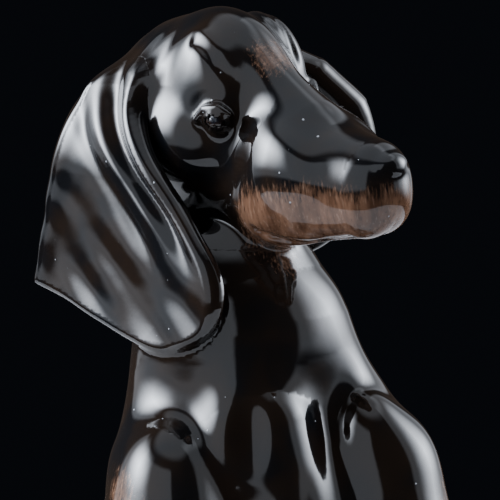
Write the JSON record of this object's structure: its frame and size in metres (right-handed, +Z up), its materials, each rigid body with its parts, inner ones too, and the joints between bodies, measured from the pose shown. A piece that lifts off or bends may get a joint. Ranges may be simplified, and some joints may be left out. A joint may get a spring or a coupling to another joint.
{
  "type": "dog figurine",
  "caption": "Sitting dachshund figurine in hollow glazed porcelain, head turned to its left, long hanging ears and curled tail, resting on its flat underside.",
  "frame": {"origin": "on the ground under the middle of the figurine's box", "axes": "+Z up; the dog's body faces -Y; the dog's own left side is +X"},
  "size_m": [0.0586, 0.085, 0.1024],
  "materials": {
    "black_glaze": "high gloss",
    "tan_glaze": "high gloss",
    "eye_enamel": "high gloss"
  },
  "bodies": {
    "root": {"body_shell": "black_glaze", "head_shell": "black_glaze", "ear_right": "black_glaze", "ear_left": "black_glaze", "foreleg_right": "tan_glaze", "foreleg_left": "tan_glaze", "hindleg_right": "black_glaze", "hindleg_left": "black_glaze", "tail": "black_glaze", "eye_right": "eye_enamel", "eye_left": "eye_enamel"}
  },
  "joints": []
}
